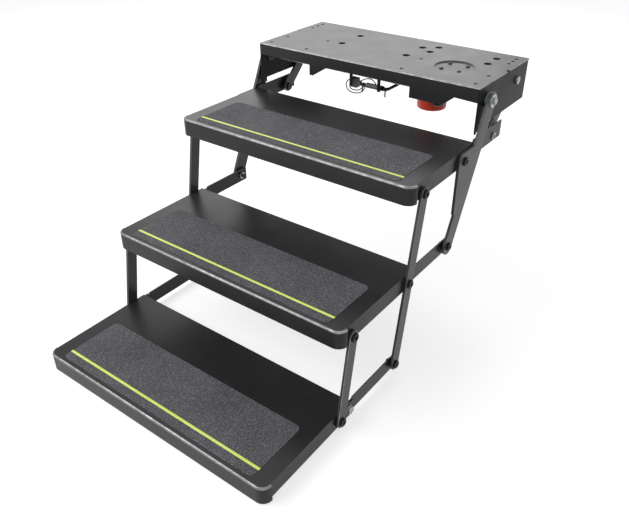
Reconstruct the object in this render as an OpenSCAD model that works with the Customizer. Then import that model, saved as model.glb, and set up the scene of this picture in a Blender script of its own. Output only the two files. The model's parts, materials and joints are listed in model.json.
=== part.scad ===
// Pull out entrance step for a caravan: a bolted frame with a motor drive and three hanging treads.
// Origin: centre of the mounting plate's top face. +X to the right, +Y under the vehicle, +Z up.
// It stands in the let down position, which is where the drive holds it in use.

/* [Treads] */
// Width of a tread over its side flanges
tread_width = 610; // [500:5:700]
// Depth of a tread from its front edge to its rear edge
tread_depth = 268; // [220:2:320]
// Thickness of the tread sheet
tread_sheet = 3; // [2:0.5:4]
// Height of the lip along a tread's front edge
lip_height = 40; // [30:1:50]
// Radius where the front lip wraps round a corner
lip_radius = 21; // [15:1:21]
// How far the wrapped lip stands out from the side flange
lip_proud = 4; // [1:0.5:4]
// Width of the hem folded back under the front lip
lip_hem = 12; // [6:1:20]
// Height of a tread's side flange
flange_height = 37.5; // [34:0.5:45]
// Height of a tread's rear flange
rear_flange_height = 28; // [15:1:34]
// How far the lowest tread's side flange runs past its rear edge
tread_tail = 12; // [11:1:20]

/* [Grip surface] */
// Width of the grit pad across a tread
pad_width = 540; // [450:5:570]
// Distance from a tread's front edge to its grit pad
pad_setback = 11; // [5:1:20]
// Depth of the grit pad
pad_depth = 145; // [100:5:200]
// Corner radius of the grit pad
pad_corner = 12; // [5:1:18]
// Thickness of the grit pad
pad_thick = 0.8; // [0.5:0.1:2]
// Distance from a tread's front edge to its bright strip
strip_setback = 31; // [25:1:45]
// Width of the bright strip
strip_width = 6; // [4:0.5:12]
// Thickness of the bright strip
strip_thick = 1.1; // [0.6:0.1:2]

/* [Pivots] */
// Drop of the frame's two pivots under the mounting face
frame_pivot_drop = 35; // [30:1:40]
// Distance from the front flange back to the arm's pivot
arm_pivot_back = 40; // [38:1:44]
// Distance between the two frame pivots, the same as between their partners on the top tread
pivot_spacing = 160; // [150:1:165]
// Forward reach of the arm's upper half, from the frame pivot to the top tread's pivot
upper_reach = 105; // [95:1:115]
// Drop of the arm's upper half
upper_drop = 100; // [90:1:110]
// Forward reach of one bay of the links below the top tread
lower_reach = 34; // [28:1:40]
// Drop of one bay of the links below the top tread
lower_drop = 192; // [180:1:200]
// Distance from the top tread's rear edge forward to the arm's pivot
arm_pivot_inset = 53; // [45:1:60]
// Distance from the top tread's front edge back to the link's pivot
link_pivot_setback = 47; // [42:1:50]
// Distance from the middle tread's rear edge forward to the link's pivot
link_middle_inset = 29; // [25:1:32]
// Distance from the middle tread's front edge back to the strut's pivot
strut_pivot_setback = 38; // [38:1:42]
// Distance from the lowest tread's rear edge forward to the strut's pivot
strut_lower_inset = 37; // [35:1:42]
// Drop of a pivot near a tread's front edge under the tread's top
front_pivot_drop = 28; // [24:1:30]
// Drop of a pivot near a tread's rear edge under the tread's top
rear_pivot_drop = 22; // [20:1:26]

/* [Arms and links] */
// Thickness of every arm, link and strut
link_thick = 6; // [4:0.5:8]
// Width of the long arm
arm_width = 39; // [34:1:42]
// Width of a link, strut or rear arm
link_width = 27; // [24:0.5:28]
// Distance from the arm's ear pivot forward to the ear's front edge
ear_front = 26; // [22:1:28]
// Height of the ear above its pivot
ear_top = 20; // [16:1:22]
// Length of the ear below its pivot
ear_length = 117; // [100:1:125]
// Corner radius of the ear
ear_corner = 22; // [15:1:24]
// Gap between a tread's side flange and the links outside it
link_gap = 1; // [0.8:0.1:1.5]
// Thickness of a rail that carries the rear pivots
rail_thick = 3; // [2:0.5:4]
// Distance from a rail's front pivot to its front end
rail_lead = 25; // [18:1:30]
// Distance from a rail's last pivot to its rear end
rail_tail = 20; // [16:1:24]
// The same distance on the top tread's rail, which is longer
long_rail_tail = 41; // [30:1:45]
// How far the top tread's rail stands above its top
rail_rise = 4.5; // [0:0.5:6]
// Diameter of a pivot bolt's head
head_diameter = 19; // [17:0.5:20]
// Width over the flats of a lock nut
nut_flats = 16; // [14:0.5:17]
// Height of a lock nut
nut_height = 5.4; // [4.5:0.1:5.5]

/* [Frame] */
// Distance from a tread's side inward to the frame's side
frame_inset = 7; // [7:0.5:9]
// Depth of the mounting plate
plate_depth = 266; // [240:2:300]
// Thickness of the frame's sheet
frame_sheet = 3; // [2:0.5:4]
// Height of the side panels under the mounting face
panel_height = 92; // [80:1:95]
// Height of the front flange under the mounting face
front_drop = 28.5; // [24:0.5:34]
// Height of the front flange's tabs under the mounting face
tab_drop = 53.5; // [48:0.5:54]
// Distance from the centre to the near edge of the right tab
tab_near = 133; // [125:1:135]
// Width of the right tab along its lower edge
tab_width = 80; // [70:1:85]
// Width of the right tab's sloping end
tab_slope = 27; // [20:1:35]
// Distance from the centre to the far edge of the left tab
left_tab_far = 143; // [135:1:160]
// Width of the left tab along its lower edge
left_tab_width = 10; // [6:1:20]
// Width of the left tab's sloping end
left_tab_slope = 40; // [30:1:50]
// Height of the rear flange under the mounting face
rear_drop = 28; // [24:1:30]
// Height of the notched post at a side panel's front, under the panel's lower edge
post_foot = 12; // [8:1:14]
// Width of the notched post
post_width = 19; // [16:1:24]
// Distance from the plate's front edge back to the front flange
front_setback = 2; // [1:0.5:4]
// Distance from the plate's rear edge to the side panels' rear edge
panel_rear_setback = 6; // [4:1:10]
// Diameter of the frame's mounting holes
mount_hole = 8.5; // [6:0.5:10]
// Distance between the two rows of mounting holes
mount_rows = 554; // [450:2:570]
// Diameter of the access holes in the plate
access_hole = 18; // [12:1:22]
// Diameter of the round recess over the gearbox
recess_diameter = 91; // [86:1:96]
// Depth of the round recess over the gearbox
recess_depth = 3; // [2.8:0.1:3.2]

/* [Drive] */
// Radius of the shaft that joins the two arms
shaft_radius = 9; // [8:0.5:9.5]
// Throw of the drive's crank and of the lever on the shaft
crank_throw = 30; // [28:0.5:31]
// Distance from the shaft back to the gearbox's output
output_back = 105; // [104:1:108]
// Angle of the crank below the horizontal when the step is let down
crank_angle = 132.5; // [130:0.5:135]
// Radius of the motor's can
motor_radius = 29; // [26:0.5:30]
// Radius of the motor's coloured end cap
cap_radius = 34; // [31:0.5:34]
// Height of the motor's end cap
cap_height = 30; // [20:1:35]
// Drop of the motor's lower end under the mounting face
motor_drop = 95; // [85:1:105]
// Sideways position of the motor
motor_side = 150; // [145:1:150]
// Sideways position of the gearbox's round cover
cover_side = 187; // [184:1:190]
// Radius of the gearbox's round cover
cover_radius = 40; // [38:0.5:42]
// Height of the gearbox's round cover
cover_height = 18; // [16:0.5:19]
// Radius of the gearbox's drum for the worm wheel
drum_radius = 28; // [26:0.5:29]
// Distance from the shaft back to the round cover's centre
cover_back = 64; // [62:1:66]
// Distance from the shaft back to the motor's centre
motor_back = 41; // [41:0.5:43]
// Drop of the motor's cable under the mounting face
cable_drop = 54; // [52:0.5:56]
// Radius of the motor's cable
cable_radius = 3.5; // [2.5:0.1:4]

/* [Fits] */
// Radius of every pivot bolt
pin_radius = 5; // [4:0.5:6]
// Clearance round a pivot bolt that turns in a link
turning_clearance = 0.05; // [0.02:0.01:0.1]
// Clearance round a bolt that closes a linkage
closing_clearance = 0.3; // [0.2:0.05:0.5]
// Clearance round a bolt that is clamped
bolt_clearance = 0.1; // [0.05:0.05:0.3]
// Gap beside a part that turns
side_gap = 0.3; // [0.2:0.05:0.4]

/* [Hidden] */
$fn = 96;
half = tread_width / 2;
flange_in = half - tread_sheet;
rail_in = flange_in - rail_thick;
link_in = half + link_gap;
link_out = link_in + link_thick;
side_out = half - frame_inset;
plate_width = 2 * side_out;
side_in = side_out - frame_sheet;
plate_front = -plate_depth / 2;
plate_rear = plate_depth / 2;
flange_front = plate_front + front_setback;
flange_rear = flange_front + frame_sheet;
panel_rear = plate_rear - panel_rear_setback;
rear_arm_out = side_in - 3;
rear_arm_in = rear_arm_out - link_thick;

upper_swing = [-upper_reach, -upper_drop];
lower_swing = [-lower_reach, -lower_drop];
arm_top = [flange_front + arm_pivot_back, -frame_pivot_drop];
rear_top = arm_top + [pivot_spacing, 0];
arm_tread_1 = arm_top + upper_swing;
rear_tread_1 = rear_top + upper_swing;
tread_1 = arm_tread_1 + [arm_pivot_inset - tread_depth, rear_pivot_drop];
link_tread_1 = tread_1 + [link_pivot_setback, -front_pivot_drop];
arm_tread_2 = arm_tread_1 + lower_swing;
link_tread_2 = link_tread_1 + lower_swing;
tread_2 = link_tread_2 + [link_middle_inset - tread_depth, rear_pivot_drop];
strut_tread_2 = tread_2 + [strut_pivot_setback, -front_pivot_drop];
link_tread_3 = link_tread_2 + lower_swing;
strut_tread_3 = strut_tread_2 + lower_swing;
tread_3 = strut_tread_3 + [strut_lower_inset - tread_depth, rear_pivot_drop];
tail_bolt = tread_3 + [tread_depth - tread_sheet, -flange_height / 2];

output = arm_top + [output_back, 0];
throw = crank_throw * [cos(crank_angle), -sin(crank_angle)];
lever_end = arm_top + throw;
crank_end = output + throw;
drum_in = motor_side;
drum_out = cover_side - 1;
lever_in = drum_out + 3;
lever_out = lever_in + link_thick;
rod_in = lever_out + 1;
rod_out = rod_in + 5;
motor_centre = [motor_side, arm_top[0] + motor_back];
cover_centre = [cover_side, arm_top[0] + cover_back];
case_top = -frame_sheet - recess_depth;
case_bottom = case_top - cover_height;
output_radius = 0.285 * drum_radius;
cable_height = -cable_drop;
cable_front = flange_rear + 16;
cable_bend = 8;
cable_turn = tab_near / 2;
row = mount_rows / 2;
mount_depths = [
    plate_front + 23, plate_front + 88, plate_rear - 71, plate_rear - 47, plate_rear - 26
];
inner_mounts = [
    [98, plate_front + 24], [98, plate_front + 113],
    [-168, plate_front + 24], [-168, plate_front + 113]
];
access_holes = [
    [55, plate_rear - 68], [87, plate_rear - 45], [87, plate_rear - 90], [55, plate_rear - 147],
    [239, plate_rear - 51], [239, plate_rear - 99], [-127, plate_rear - 150], [-127, plate_rear - 67]
];
cover_screws = [45, 135, 225, 315];
cover_screw_circle = cover_radius - 9;

coat = [0.10, 0.10, 0.11];
coat_grey = [0.16, 0.16, 0.17];
grit = [0.28, 0.28, 0.30];
yellow = [0.89, 0.96, 0.45];
zinc = [0.75, 0.78, 0.76];
cast = [0.45, 0.46, 0.48];
red = [0.80, 0.16, 0.10];
black = [0.05, 0.05, 0.05];
grey = [0.45, 0.46, 0.48];
white = [0.85, 0.85, 0.83];

// Shared shapes

// A round bar along X, from one sideways position to another, at a point given as depth and height.
module round_bar(from, to, at, r) {
    translate([from, at[0], at[1]])
        rotate([0, 90, 0])
            cylinder(h = to - from, r = r);
}

// A hexagonal bar along X.
module hex_bar(from, to, at, flats) {
    translate([from, at[0], at[1]])
        rotate([0, 90, 0])
            cylinder(h = to - from, r = flats / 2 / cos(30), $fn = 6);
}

// A flat plate that faces sideways. Its outline is drawn as depth and height.
module side_plate(from, thick) {
    translate([from, 0, 0])
        rotate([90, 0, 90])
            linear_extrude(thick)
                children();
}

// The outline of a straight bar with round ends. The straight is a hair narrower than the ends.
module bar_outline(a, b, width) {
    along = b - a;
    flat = width - 0.04;
    translate(a) circle(d = width);
    translate(b) circle(d = width);
    translate(a)
        rotate(atan2(along[1], along[0]))
            translate([0, -flat / 2])
                square([norm(along), flat]);
}

// The same thing on the right and on the left.
module both_sides() {
    children();
    mirror([1, 0, 0]) children();
}

// A pivot bolt with its head outside a link and its shank through a tread's flange.
module pivot_bolt(at, inner) {
    head = link_out + side_gap;
    difference() {
        union() {
            round_bar(inner, head + 1, at, pin_radius);
            round_bar(half + 0.05, link_in - 0.15, at, pin_radius + 4);
            round_bar(head, head + 3.2, at, head_diameter / 2);
            translate([head + 3.2, at[0], at[1]])
                rotate([0, 90, 0])
                    cylinder(h = 1.5, r1 = head_diameter / 2, r2 = head_diameter / 2 - 1.5);
        }
        hex_bar(head + 1.7, head + 6, at, 8);
    }
}

// A lock nut on the inner end of a bolt.
module lock_nut(from, to, at) {
    difference() {
        union() {
            hex_bar(from + 1, to, at, nut_flats);
            round_bar(from, from + 1, at, nut_flats / 2 - 1);
        }
        round_bar(from - 1, to + 1, at, pin_radius + bolt_clearance);
    }
}

// Treads

// The outline of a tread's front band, with its rounded corners. Inset gives the inside of the lip.
module front_band(inset) {
    reach = half + lip_proud - lip_radius;
    intersection() {
        union() {
            for (side = [-1, 1])
                translate([side * reach, lip_radius])
                    circle(r = lip_radius - inset);
            translate([-reach, inset])
                square([2 * reach, lip_radius - inset]);
        }
        translate([-tread_width, 0])
            square([2 * tread_width, lip_radius]);
    }
}

// A pan with a wrapped front lip, two side flanges and a rear flange. Pivots are given in its own place.
module tread_pan(at, pivots, tail) {
    color(coat)
    translate([0, at[0], at[1]])
    difference() {
        union() {
            translate([0, 0, -tread_sheet])
                linear_extrude(tread_sheet) {
                    front_band(0);
                    translate([-half, lip_radius])
                        square([tread_width, tread_depth - lip_radius]);
                }
            translate([0, 0, -lip_height])
                linear_extrude(lip_height - tread_sheet)
                    difference() {
                        front_band(0);
                        front_band(tread_sheet);
                    }
            translate([-half + lip_radius, tread_sheet, -lip_height])
                cube([tread_width - 2 * lip_radius, lip_hem, tread_sheet]);
            both_sides()
                translate([flange_in, lip_radius + 2, -flange_height])
                    cube([tread_sheet, tread_depth - lip_radius - 2, flange_height - tread_sheet]);
            if (tail > 0)
                both_sides()
                    translate([flange_in, tread_depth, -flange_height])
                        cube([tread_sheet, tail, flange_height - tread_sheet]);
            translate([-rail_in + 8, tread_depth - tread_sheet, -rear_flange_height])
                cube([2 * rail_in - 16, tread_sheet, rear_flange_height - tread_sheet]);
        }
        for (p = pivots)
            both_sides()
                round_bar(flange_in - 1, half + 1, p - at, pin_radius + bolt_clearance);
    }
}

// A channel spot welded under a tread.
module tread_stiffener(at) {
    wide = 2 * (rail_in - 12);
    high = flange_height / 2;
    deep = 30;
    wall = tread_sheet - 1;
    color(coat)
    translate([-wide / 2, at[0] + tread_depth - 3.2 * deep, at[1] - tread_sheet - high])
    difference() {
        cube([wide, deep, high]);
        translate([-1, wall, wall])
            cube([wide + 2, deep - 2 * wall, high]);
    }
}

// The two rails that run back from a tread and carry its rear pivots.
module tread_rails(at, rise, tail, pivots) {
    start = pivots[0] - at - [rail_lead, 0];
    end = pivots[len(pivots) - 1] - at + [tail, 0];
    under = -tread_sheet - 0.5;
    bottom = 3.5 - flange_height;
    behind = tread_depth + (rise > 0 ? 2.5 : tread_tail + 1);
    color(coat)
    both_sides()
    difference() {
        side_plate(rail_in, rail_thick)
            translate(at)
                polygon([
                    [start[0], bottom], [start[0], under], [behind, under], [behind, rise],
                    [end[0], rise], [end[0], bottom]
                ]);
        for (p = pivots)
            round_bar(rail_in - 1, flange_in + 1, p, pin_radius + bolt_clearance);
    }
}

// The grit pad, with a slot for the bright strip.
module tread_grit(at) {
    reach = pad_width / 2 - pad_corner;
    color(grit)
    translate([0, at[0] + pad_setback, at[1]])
    linear_extrude(pad_thick)
    difference() {
        union() {
            for (x = [-reach, reach], y = [pad_corner, pad_depth - pad_corner])
                translate([x, y]) circle(r = pad_corner);
            translate([-reach, 0]) square([2 * reach, pad_depth]);
            translate([-pad_width / 2, pad_corner]) square([pad_width, pad_depth - 2 * pad_corner]);
        }
        translate([-pad_width, strip_setback - pad_setback - 0.3])
            square([2 * pad_width, strip_width + 0.6]);
    }
}

// The bright strip that marks a tread's edge.
module tread_strip(at) {
    color(yellow)
    translate([-pad_width / 2, at[0] + strip_setback, at[1]])
        cube([pad_width, strip_width, strip_thick]);
}

module tread_1_pan() { tread_pan(tread_1, [link_tread_1, arm_tread_1], 0); }
module tread_2_pan() { tread_pan(tread_2, [strut_tread_2, link_tread_2], 0); }
module tread_3_pan() { tread_pan(tread_3, [strut_tread_3, tail_bolt], tread_tail); }
module tread_1_stiffener() { tread_stiffener(tread_1); }
module tread_2_stiffener() { tread_stiffener(tread_2); }
module tread_3_stiffener() { tread_stiffener(tread_3); }
module tread_1_grit() { tread_grit(tread_1); }
module tread_2_grit() { tread_grit(tread_2); }
module tread_3_grit() { tread_grit(tread_3); }
module tread_1_strip() { tread_strip(tread_1); }
module tread_2_strip() { tread_strip(tread_2); }
module tread_3_strip() { tread_strip(tread_3); }

module tread_1_rails() {
    tread_rails(tread_1, rail_rise, long_rail_tail, [arm_tread_1, rear_tread_1]);
}

module tread_2_rails() { tread_rails(tread_2, 0, rail_tail, [link_tread_2, arm_tread_2]); }

module tread_3_rails() {
    tread_rails(tread_3, 0, rail_tail, [strut_tread_3, tail_bolt, link_tread_3]);
}

// Bolts that a tread carries: two front pairs, and the rear pair that also holds the rear arms.
module tread_1_bolts() {
    color(black)
    both_sides() {
        pivot_bolt(link_tread_1, flange_in - 6);
        pivot_bolt(arm_tread_1, rail_in - 6);
        round_bar(rear_arm_in - 0.5, link_in - 0.5, rear_tread_1, pin_radius);
        round_bar(rear_arm_in - 5, rear_arm_in - side_gap, rear_tread_1, pin_radius + 4);
        round_bar(rear_arm_out + side_gap, rail_in - 0.05, rear_tread_1, pin_radius + 3);
    }
}

module tread_1_nuts() {
    color(zinc)
    both_sides() {
        lock_nut(flange_in - nut_height, flange_in - 0.05, link_tread_1);
        lock_nut(rail_in - nut_height, rail_in - 0.05, arm_tread_1);
        lock_nut(flange_in + 0.05, link_in - 0.6, rear_tread_1);
    }
}

module tread_2_bolts() {
    color(black)
    both_sides() {
        pivot_bolt(strut_tread_2, flange_in - 6);
        pivot_bolt(link_tread_2, rail_in - 6);
        rail_bolt(arm_tread_2);
    }
}

module tread_2_nuts() {
    color(zinc)
    both_sides() {
        lock_nut(flange_in - nut_height, flange_in - 0.05, strut_tread_2);
        lock_nut(rail_in - nut_height, rail_in - 0.05, link_tread_2);
        lock_nut(rail_in - nut_height, rail_in - 0.05, arm_tread_2);
    }
}

module tread_3_bolts() {
    color(black)
    both_sides() {
        pivot_bolt(strut_tread_3, rail_in - 6);
        rail_bolt(link_tread_3);
    }
}

module tread_3_nuts() {
    color(zinc)
    both_sides() {
        lock_nut(rail_in - nut_height, rail_in - 0.05, strut_tread_3);
        lock_nut(rail_in - nut_height, rail_in - 0.05, link_tread_3);
    }
}

// A pivot bolt on a bare rail, with a spacer as thick as the flange.
module rail_bolt(at) {
    pivot_bolt(at, rail_in - 6);
    round_bar(flange_in + 0.05, half + 0.05, at, pin_radius + 4);
}

// Plated bolts that join the lowest tread to its rails.
module tread_3_tail_bolts() {
    color(zinc)
    both_sides() {
        round_bar(rail_in - 6, half + 0.5, tail_bolt, pin_radius);
        round_bar(half + 0.05, half + 1.3, tail_bolt, head_diameter / 2 + 0.5);
        hex_bar(half + 1.3, half + 6.5, tail_bolt, nut_flats);
        hex_bar(rail_in - nut_height, rail_in - 0.05, tail_bolt, nut_flats);
    }
}

// Arms and links

// The long arm with its ear. It is squared onto the shaft that joins it to the other arm.
module arm() {
    shaft_square = 1.4 * shaft_radius;
    corner = [ear_corner - ear_front, ear_top - ear_corner];
    ear_reach = 0.63 * upper_reach;
    color(coat_grey)
    difference() {
        union() {
            side_plate(link_in, link_thick)
                bar_outline(arm_top, arm_tread_2, arm_width);
            side_plate(link_in, link_thick)
                translate(arm_tread_1)
                    polygon([
                        [-ear_front, -ear_length], [-ear_front, corner[1]], corner,
                        [corner[0], ear_top], [ear_reach, ear_top], [2, -ear_length]
                    ]);
            round_bar(link_in, link_out, arm_tread_1 + corner, ear_corner);
        }
        round_bar(link_in - 1, link_out + 1, arm_tread_1, pin_radius + turning_clearance);
        round_bar(link_in - 1, link_out + 1, arm_tread_2, pin_radius + closing_clearance);
        translate([link_in + link_thick / 2, arm_top[0], arm_top[1]])
            cube([2 * link_thick, shaft_square + 0.2, shaft_square + 0.2], center = true);
    }
}

module arm_right() { arm(); }
module arm_left() { mirror([1, 0, 0]) arm(); }

// A link that hangs from the top tread and carries the middle and the lowest one.
module hanging_link() {
    color(coat_grey)
    side_plate(link_in, link_thick)
    difference() {
        bar_outline(link_tread_1, link_tread_3, link_width);
        translate(link_tread_1) circle(r = pin_radius + turning_clearance);
        translate(link_tread_2) circle(r = pin_radius + turning_clearance);
        translate(link_tread_3) circle(r = pin_radius + closing_clearance);
    }
}

module link_right() { hanging_link(); }
module link_left() { mirror([1, 0, 0]) hanging_link(); }

// A short strut between the middle and the lowest tread.
module front_strut() {
    color(coat_grey)
    side_plate(link_in, link_thick)
    difference() {
        bar_outline(strut_tread_2, strut_tread_3, link_width);
        translate(strut_tread_2) circle(r = pin_radius + turning_clearance);
        translate(strut_tread_3) circle(r = pin_radius + turning_clearance);
    }
}

module strut_right() { front_strut(); }
module strut_left() { mirror([1, 0, 0]) front_strut(); }

// The rear arm hangs inside the side panel and keeps the top tread level.
module rear_arm() {
    color(coat_grey)
    side_plate(rear_arm_in, link_thick)
    difference() {
        bar_outline(rear_top, rear_tread_1, link_width);
        translate(rear_top) circle(r = pin_radius + turning_clearance);
        translate(rear_tread_1) circle(r = pin_radius + closing_clearance);
    }
}

module rear_arm_right() { rear_arm(); }
module rear_arm_left() { mirror([1, 0, 0]) rear_arm(); }

// The shaft that turns both arms together. Its ends are squared and drilled for a bolt.
module cross_shaft() {
    square_side = 1.4 * shaft_radius;
    color(zinc)
    difference() {
        union() {
            round_bar(-link_in + 0.1, link_in - 0.1, arm_top, shaft_radius);
            translate([-link_out + 0.3, arm_top[0] - square_side / 2, arm_top[1] - square_side / 2])
                cube([2 * link_out - 0.6, square_side, square_side]);
        }
        both_sides()
            round_bar(link_in - 20, link_out + 1, arm_top, 4 + bolt_clearance);
    }
}

// Spacers on the shaft between a side panel and its arm.
module shaft_spacers() {
    color(zinc)
    both_sides()
    difference() {
        round_bar(side_out + 1.5, link_in - 0.05, arm_top, 15);
        round_bar(side_out, link_in + 1, arm_top, shaft_radius + 0.5 * closing_clearance);
    }
}

// Bolts and washers that hold the arms on the shaft's ends.
module arm_end_bolts() {
    color(zinc)
    both_sides() {
        round_bar(link_in - 16, link_out + 2, arm_top, 4);
        round_bar(link_out + 0.05, link_out + 2.5, arm_top, 15);
        hex_bar(link_out + 2.5, link_out + 8, arm_top, 13);
    }
}

// Drive

// The lever that turns the shaft.
module drive_lever() {
    color(black)
    difference() {
        side_plate(lever_in, lever_out - lever_in) {
            bar_outline(arm_top, lever_end, 0.6 * crank_throw);
            translate(arm_top) circle(r = shaft_radius + 6);
        }
        round_bar(lever_in - 1, lever_out + 1, arm_top, shaft_radius + 0.5 * closing_clearance);
        round_bar(lever_in - 1, lever_out + 1, lever_end, pin_radius + 0.05);
    }
}

// A pin with a head at each end.
module headed_pin(at) {
    round_bar(lever_in - 2, rod_out + 3, at, pin_radius);
    round_bar(lever_in - 2.2, lever_in - 0.05, at, pin_radius + 2);
    round_bar(rod_out + side_gap, rod_out + 3, at, pin_radius + 2);
}

module lever_pin() { color(black) headed_pin(lever_end); }
module crank_pin() { color(black) headed_pin(crank_end); }

// The crank and the gearbox's output shaft, forged as one.
module output_crank() {
    color(black)
    difference() {
        union() {
            side_plate(lever_in, lever_out - lever_in) {
                bar_outline(output, crank_end, 0.6 * crank_throw);
                translate(output) circle(r = output_radius + 2.2);
            }
            round_bar(drum_out - 15, lever_in + 1, output, output_radius);
            hex_bar(lever_out, lever_out + 4, output, 13);
        }
        round_bar(lever_in - 1, lever_out + 1, crank_end, pin_radius + 0.05);
    }
}

// The rod between the crank and the lever.
module drive_rod() {
    color(black)
    side_plate(rod_in, rod_out - rod_in)
    difference() {
        bar_outline(lever_end, crank_end, 16);
        translate(lever_end) circle(r = pin_radius + closing_clearance);
        translate(crank_end) circle(r = pin_radius + turning_clearance);
    }
}

// The gearbox: a round cover under the recess, a seat for the motor and a drum for the worm wheel.
module gearbox_case() {
    height = case_top - case_bottom;
    color(cast)
    difference() {
        union() {
            translate([cover_centre[0], cover_centre[1], case_bottom])
                cylinder(h = height, r = cover_radius);
            translate([motor_centre[0], motor_centre[1], case_bottom])
                cylinder(h = height, r = motor_radius + 5);
            translate([drum_in, cover_centre[1], case_bottom])
                cube([drum_out - drum_in, output[0] + 0.8 * drum_radius - cover_centre[1], height]);
            round_bar(drum_in, drum_out, output, drum_radius);
            round_bar(drum_out, drum_out + 2, output, output_radius + 5);
        }
        round_bar(drum_out - 16, lever_in, output, output_radius + turning_clearance);
        for (a = cover_screws)
            translate([cover_centre[0], cover_centre[1], 0])
                rotate(a)
                    translate([cover_screw_circle, 0, case_bottom + 4])
                        cylinder(h = height, r = 3.1);
    }
}

// Screws through the recess into the gearbox.
module gearbox_screws() {
    color(black)
    translate([cover_centre[0], cover_centre[1], 0])
    for (a = cover_screws)
        rotate(a)
            translate([cover_screw_circle, 0, 0])
                difference() {
                    union() {
                        translate([0, 0, case_bottom + 6])
                            cylinder(h = -frame_sheet - case_bottom - 5, r = 3);
                        translate([0, 0, -frame_sheet + 0.02])
                            cylinder(h = 2.6, r1 = 5.2, r2 = 4);
                    }
                    translate([0, 0, -frame_sheet + 1.2])
                        cylinder(h = 3, r = 2.3, $fn = 6);
                }
}

// The motor hangs under the gearbox.
module drive_motor() {
    color(grey)
    translate([motor_centre[0], motor_centre[1], 0]) {
        translate([0, 0, case_bottom - 3])
            cylinder(h = 3, r = motor_radius + 2);
        translate([0, 0, 3.5 - motor_drop])
            cylinder(h = motor_drop + case_bottom - 4, r = motor_radius);
        translate([-motor_radius - 4, -6, cable_height - 6])
            cube([8, 12, 12]);
    }
}

// The coloured cap over the motor's lower end.
module motor_cap() {
    color(red)
    translate([motor_centre[0], motor_centre[1], -motor_drop])
    difference() {
        union() {
            translate([0, 0, 3])
                cylinder(h = cap_height - 3, r = cap_radius);
            cylinder(h = 3, r1 = cap_radius - 2.5, r2 = cap_radius);
        }
        translate([0, 0, 3])
            cylinder(h = cap_height, r = motor_radius + 0.2);
    }
}

// A rubber stop behind the front tab. The lever meets it when the step is let down.
module stop_buffer() {
    lever_face = lever_end[0] - 0.22 * crank_throw;
    color(black)
    translate([(lever_in + lever_out) / 2, flange_rear, 6.5 - tab_drop])
        rotate([-90, 0, 0])
            cylinder(h = lever_face - flange_rear - 0.5, r = 4);
}

// The motor's cable runs forward under the shaft, then left along the front flange.
module motor_cable() {
    depth = motor_centre[1];
    color(black)
    translate([0, 0, cable_height]) {
        translate([cable_turn + cable_bend, depth, 0])
            rotate([0, 90, 0])
                cylinder(h = motor_side - motor_radius - 4 - cable_turn - cable_bend, r = cable_radius);
        translate([cable_turn + cable_bend, depth - cable_bend, 0])
            rotate(90)
                rotate_extrude(angle = 90)
                    translate([cable_bend, 0]) circle(r = cable_radius);
        translate([cable_turn, cable_front + cable_bend, 0])
            rotate([-90, 0, 0])
                cylinder(h = depth - cable_front - 2 * cable_bend, r = cable_radius);
        translate([cable_turn - cable_bend, cable_front + cable_bend, 0])
            rotate(-90)
                rotate_extrude(angle = 90)
                    translate([cable_bend, 0]) circle(r = cable_radius);
        translate([-6, cable_front, 0])
            rotate([0, 90, 0])
                cylinder(h = cable_turn - cable_bend + 6, r = cable_radius);
    }
}

// A grey ribbed sleeve on the cable.
module cable_sleeve() {
    color(grey)
    difference() {
        union() {
            round_bar(10, 46, [cable_front, cable_height], 5);
            for (i = [0 : 8])
                round_bar(11 + 4 * i, 13 + 4 * i, [cable_front, cable_height], 6);
        }
        round_bar(9, 47, [cable_front, cable_height], cable_radius + 0.1);
    }
}

// The plug at the cable's end.
module cable_connector() {
    color(white)
    difference() {
        union() {
            translate([-33, cable_front - 7, cable_height - 10])
                cube([20, 14, 22]);
            translate([-13, cable_front - 5, cable_height - 5])
                cube([7, 10, 10]);
        }
        translate([-35, cable_front - 4.5, cable_height - 7.5])
            cube([12, 9, 17]);
    }
}

// Clips that hold the cable and its plug to the front flange.
module cable_clips() {
    color(zinc)
    for (x = [-24, 52])
        difference() {
            union() {
                translate([x - 4, flange_rear + 0.02, cable_height - 4])
                    cube([8, 2, 48]);
                translate([x - 4, flange_rear + 0.02, cable_height + (x < 0 ? 12.05 : 4)])
                    cube([8, 18, 2]);
                if (x > 0)
                    round_bar(x - 4, x + 4, [cable_front, cable_height], 6);
            }
            if (x > 0)
                round_bar(x - 5, x + 5, [cable_front, cable_height], cable_radius + 0.05);
        }
}

// Frame

// The plate that is bolted under the vehicle's floor, with its recess over the gearbox.
module mounting_plate() {
    color(coat_grey)
    difference() {
        union() {
            translate([-side_out, plate_front, -frame_sheet])
                cube([plate_width, plate_depth, frame_sheet]);
            translate([cover_centre[0], cover_centre[1], case_top + 0.02])
                cylinder(h = recess_depth + 1, r1 = recess_diameter / 2 - 1, r2 = recess_diameter / 2 + 2);
        }
        translate([cover_centre[0], cover_centre[1], -recess_depth])
            cylinder(h = recess_depth + 0.01, r1 = recess_diameter / 2 - 3, r2 = recess_diameter / 2);
        for (side = [-1, 1]) {
            for (y = mount_depths)
                translate([side * row, y, -5])
                    cylinder(h = 10, d = mount_hole);
            translate([side * side_out, 13, -5])
                cylinder(h = 10, r = 6);
        }
        for (p = inner_mounts)
            translate([p[0], p[1], -5])
                cylinder(h = 10, d = mount_hole);
        for (p = access_holes)
            translate([p[0], p[1], -5])
                cylinder(h = 10, d = access_hole);
        for (a = cover_screws)
            translate([cover_centre[0], cover_centre[1], -8])
                rotate(a)
                    translate([cover_screw_circle, 0, 0])
                        cylinder(h = 10, r = 3.2);
    }
}

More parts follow.
